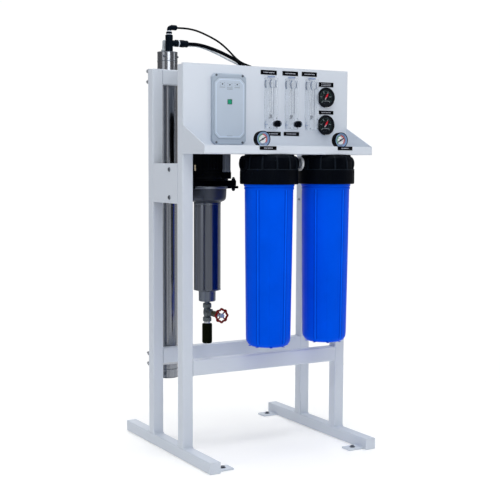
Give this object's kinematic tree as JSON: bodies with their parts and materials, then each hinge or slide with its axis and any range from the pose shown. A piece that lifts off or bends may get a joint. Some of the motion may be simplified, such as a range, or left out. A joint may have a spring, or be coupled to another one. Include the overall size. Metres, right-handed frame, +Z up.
{
  "type": "reverse osmosis unit",
  "caption": "Floor-standing reverse osmosis unit: tube frame with an instrument panel, cartridge filters, a vertical pump with throttle valve and a membrane housing.",
  "frame": {"origin": "on the floor, under the middle of the stand", "axes": "+Z up, the instrument panel faces -Y, +X towards the viewer's right"},
  "size_m": [0.606, 0.61, 1.3705],
  "materials": {
    "white_coat": "semi-gloss powder coat",
    "grey_box": "fine texture",
    "green_switch": "gloss",
    "clear_acrylic": "polished",
    "dark_trim": "satin",
    "black_plastic": "moulded satin",
    "black_metal": "satin paint",
    "motor_black": "satin paint",
    "chrome": "polished",
    "red_pointer": "satin paint",
    "red_enamel": "enamel",
    "blue_plastic": "semi-gloss",
    "filter_media": "fibrous",
    "stainless": "brushed lengthways",
    "dark_steel": "painted casting",
    "grey_bronze": "plated casting",
    "pale_plastic": "translucent"
  },
  "bodies": {
    "unit": {"left_foot": "white_coat", "right_foot": "white_coat", "left_front_post": "white_coat", "left_rear_post": "white_coat", "right_front_post": "white_coat", "right_rear_post": "white_coat", "left_side_plate": "white_coat", "right_side_plate": "white_coat", "front_lower_beam": "white_coat", "rear_lower_beam": "white_coat", "rear_upper_beam": "white_coat", "instrument_panel": "white_coat", "control_box": "grey_box", "control_cover": "grey_box", "flowmeter_1": "clear_acrylic", "flowmeter_2": "clear_acrylic", "flowmeter_3": "clear_acrylic", "panel_gauge_upper": "chrome", "panel_gauge_lower": "chrome", "inlet_gauge": "black_metal", "outlet_gauge": "black_metal", "filter_head_1": "black_plastic", "filter_head_2": "black_plastic", "filter_nipple": "stainless", "pump_bracket": "black_metal", "pump_motor": "motor_black", "pump_bell": "dark_steel", "pump_sleeve": "stainless", "pump_discharge": "stainless", "valve_body": "grey_bronze", "drain_stub": "black_plastic", "membrane_housing": "stainless", "membrane_top_cap": "stainless", "membrane_bottom_cap": "stainless", "membrane_element": "filter_media", "upper_housing_clamp": "stainless", "lower_housing_clamp": "stainless", "branch_tee": "black_plastic", "push_elbow": "black_plastic", "rear_elbow": "pale_plastic", "thick_tube": "black_plastic", "thin_tube": "black_plastic", "pale_tube": "pale_plastic"},
    "rocker": {"power_rocker": "green_switch"},
    "float_1": {"float_1": "dark_trim"},
    "float_2": {"float_2": "dark_trim"},
    "float_3": {"float_3": "dark_trim"},
    "knob_1": {"needle_knob_1": "black_plastic"},
    "knob_2": {"needle_knob_2": "black_plastic"},
    "upper_pointer": {"panel_gauge_upper_pointer": "red_pointer"},
    "lower_pointer": {"panel_gauge_lower_pointer": "red_pointer"},
    "inlet_pointer": {"inlet_gauge_pointer": "dark_trim"},
    "outlet_pointer": {"outlet_gauge_pointer": "dark_trim"},
    "cartridge_1": {"filter_cartridge_1": "filter_media"},
    "cartridge_2": {"filter_cartridge_2": "filter_media"},
    "sump_1": {"filter_sump_1": "blue_plastic"},
    "sump_2": {"filter_sump_2": "blue_plastic"},
    "shaft": {"pump_shaft": "stainless"},
    "stem": {"valve_stem": "chrome"},
    "handwheel": {"valve_handwheel": "red_enamel"}
  },
  "joints": [
    {"name": "power_switch", "type": "hinge", "parent": "unit", "child": "rocker", "pos_m": [-0.148, -0.136, 1.11], "axis": [1, 0, 0], "range_deg": [-6, 6]},
    {"name": "float_1_rise", "type": "slide", "parent": "unit", "child": "float_1", "axis": [0, 0, 1], "range_m": [0, 0.098]},
    {"name": "float_2_rise", "type": "slide", "parent": "unit", "child": "float_2", "axis": [0, 0, 1], "range_m": [0, 0.098]},
    {"name": "float_3_rise", "type": "slide", "parent": "unit", "child": "float_3", "axis": [0, 0, 1], "range_m": [0, 0.098]},
    {"name": "knob_1_turn", "type": "hinge", "parent": "unit", "child": "knob_1", "pos_m": [0.001, -0.178, 1.045], "axis": [0, -1, 0], "range_deg": [0, 1440]},
    {"name": "knob_2_turn", "type": "hinge", "parent": "unit", "child": "knob_2", "pos_m": [0.0777, -0.178, 1.045], "axis": [0, -1, 0], "range_deg": [0, 1440]},
    {"name": "upper_gauge_reading", "type": "hinge", "parent": "unit", "child": "upper_pointer", "pos_m": [0.212, -0.137, 1.135], "axis": [0, 1, 0], "range_deg": [-168, 102]},
    {"name": "lower_gauge_reading", "type": "hinge", "parent": "unit", "child": "lower_pointer", "pos_m": [0.212, -0.137, 1.046], "axis": [0, 1, 0], "range_deg": [-168, 102]},
    {"name": "inlet_gauge_reading", "type": "hinge", "parent": "unit", "child": "inlet_pointer", "pos_m": [-0.091, -0.245, 0.995], "axis": [0, 1, 0], "range_deg": [-195, 75]},
    {"name": "outlet_gauge_reading", "type": "hinge", "parent": "unit", "child": "outlet_pointer", "pos_m": [0.1965, -0.245, 0.995], "axis": [0, 1, 0], "range_deg": [-195, 75]},
    {"name": "cartridge_1_drop", "type": "slide", "parent": "unit", "child": "cartridge_1", "axis": [0, 0, -1], "range_m": [0, 0.012]},
    {"name": "cartridge_2_drop", "type": "slide", "parent": "unit", "child": "cartridge_2", "axis": [0, 0, -1], "range_m": [0, 0.012]},
    {"name": "sump_1_unscrew", "type": "hinge", "parent": "cartridge_1", "child": "sump_1", "pos_m": [-0.039, -0.197, 0.86], "axis": [0, 0, -1], "range_deg": [0, 1080]},
    {"name": "sump_2_unscrew", "type": "hinge", "parent": "cartridge_2", "child": "sump_2", "pos_m": [0.173, -0.197, 0.86], "axis": [0, 0, -1], "range_deg": [0, 1080]},
    {"name": "shaft_spin", "type": "hinge", "parent": "unit", "child": "shaft", "pos_m": [-0.152, 0, 0.7], "axis": [0, 0, 1], "continuous": true},
    {"name": "stem_rise", "type": "slide", "parent": "unit", "child": "stem", "axis": [0, -1, 0], "range_m": [0, 0.009]},
    {"name": "handwheel_turn", "type": "hinge", "parent": "stem", "child": "handwheel", "pos_m": [-0.152, -0.097, 0.44], "axis": [0, -1, 0], "range_deg": [0, 1080]}
  ],
  "couplings": [
    {"joint": "cartridge_1_drop", "follows": "sump_1_unscrew", "m_per_rad": 0.00063},
    {"joint": "cartridge_2_drop", "follows": "sump_2_unscrew", "m_per_rad": 0.00063},
    {"joint": "stem_rise", "follows": "handwheel_turn", "m_per_rad": 0.00047}
  ]
}
